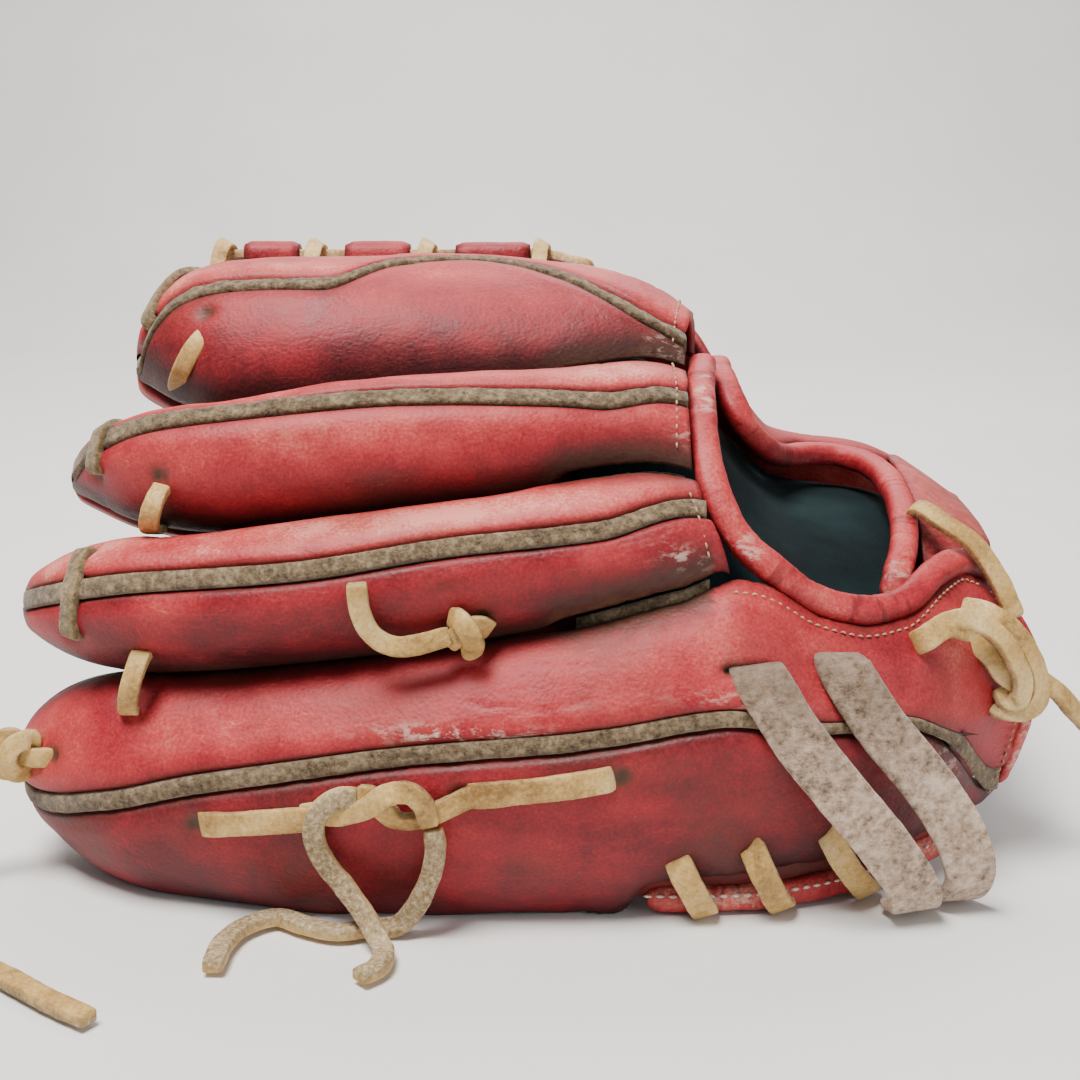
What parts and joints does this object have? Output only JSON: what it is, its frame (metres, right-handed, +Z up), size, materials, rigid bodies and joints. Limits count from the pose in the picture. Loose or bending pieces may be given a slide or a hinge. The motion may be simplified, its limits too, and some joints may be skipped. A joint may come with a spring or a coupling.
{
  "type": "baseball glove",
  "caption": "Leather fielding glove with four laced finger stalls, a thumb half on a folding crease, a barred web, an open back and a wrist strap, standing as a tent.",
  "frame": {"origin": "middle of the footprint on the ground, under the glove as it stands on its pinky edge and thumb edge, free lace tails left out", "axes": "+X from the fingertips to the wrist, +Y from the back of the fingers to the thumb side, +Z up"},
  "size_m": [0.3089, 0.2371, 0.1631],
  "materials": {
    "back_leather": "worn crimson red, faded to salmon pink on the crests, fine pebble grain",
    "palm_leather": "darker red, smooth and oiled",
    "binding_leather": "soft rolled binding, wrinkled, white stitching",
    "welt_suede": "greyish brown suede edge, dirty",
    "lace_rawhide": "tan yellow rawhide, one side smooth and one side fuzzy",
    "suede_tail": "greyish beige suede",
    "hand_lining": "dark green knitted lining",
    "padding_felt": "wool felt pad"
  },
  "bodies": {
    "finger_side": {"pinky_back_lower": "back_leather", "pinky_back_upper": "back_leather", "ring_back_lower": "back_leather", "ring_back_upper": "back_leather", "middle_back_lower": "back_leather", "middle_back_upper": "back_leather", "index_back_lower": "back_leather", "index_back_upper": "back_leather", "pinky_welt": "welt_suede", "ring_welt": "welt_suede", "middle_welt": "welt_suede", "index_welt": "welt_suede", "pinky_ring_crotch_welt": "welt_suede", "ring_middle_crotch_welt": "welt_suede", "middle_index_crotch_welt": "welt_suede", "palm_finger_side": "palm_leather", "pinky_heel_pad": "padding_felt", "finger_side_lining": "hand_lining", "hand_opening_binding_near": "binding_leather", "pinky_edge_binding": "binding_leather", "index_tip_stitch": "lace_rawhide", "middle_tip_stitch": "lace_rawhide", "ring_tip_stitch": "lace_rawhide", "index_middle_lace": "lace_rawhide", "middle_ring_lace": "lace_rawhide", "ring_pinky_lace": "lace_rawhide", "pinky_tip_knot": "lace_rawhide", "pinky_tip_tail": "lace_rawhide", "panel_lace_front_stitch": "lace_rawhide", "panel_lace_back_stitch": "lace_rawhide", "panel_lace_knot": "lace_rawhide", "panel_lace_left_tail": "suede_tail", "panel_lace_right_tail": "suede_tail", "ring_gap_knot": "lace_rawhide", "ring_gap_tail": "lace_rawhide", "pinky_loop_strap_front": "suede_tail", "pinky_loop_strap_back": "suede_tail", "edge_stitch_1": "lace_rawhide", "edge_stitch_2": "lace_rawhide", "edge_stitch_3": "lace_rawhide", "wrist_lace_loop": "lace_rawhide", "wrist_knot": "lace_rawhide", "wrist_tail": "lace_rawhide", "web_lace_index": "lace_rawhide"},
    "thumb_side": {"thumb_back_upper": "back_leather", "thumb_back_lower": "back_leather", "thumb_welt": "welt_suede", "palm_thumb_side": "palm_leather", "palm_crease": "palm_leather", "thumb_heel_pad": "padding_felt", "thumb_side_lining": "hand_lining", "hand_opening_binding_far": "binding_leather", "wrist_strap": "back_leather", "wrist_lace": "lace_rawhide", "thumb_edge_binding": "binding_leather", "web_bar_1": "back_leather", "web_bar_2": "back_leather", "web_bar_3": "back_leather", "web_post": "back_leather", "web_lace_thumb": "lace_rawhide"}
  },
  "joints": [
    {"name": "palm_hinge", "type": "hinge", "parent": "finger_side", "child": "thumb_side", "pos_m": [0.04, 0.0336, 0.118], "axis": [-0.9072, 0.0545, 0.4173], "range_deg": [-5, 16], "deforming": ["palm_crease", "wrist_strap", "wrist_lace", "web_bar_1", "web_bar_2", "web_bar_3", "web_post"]}
  ]
}
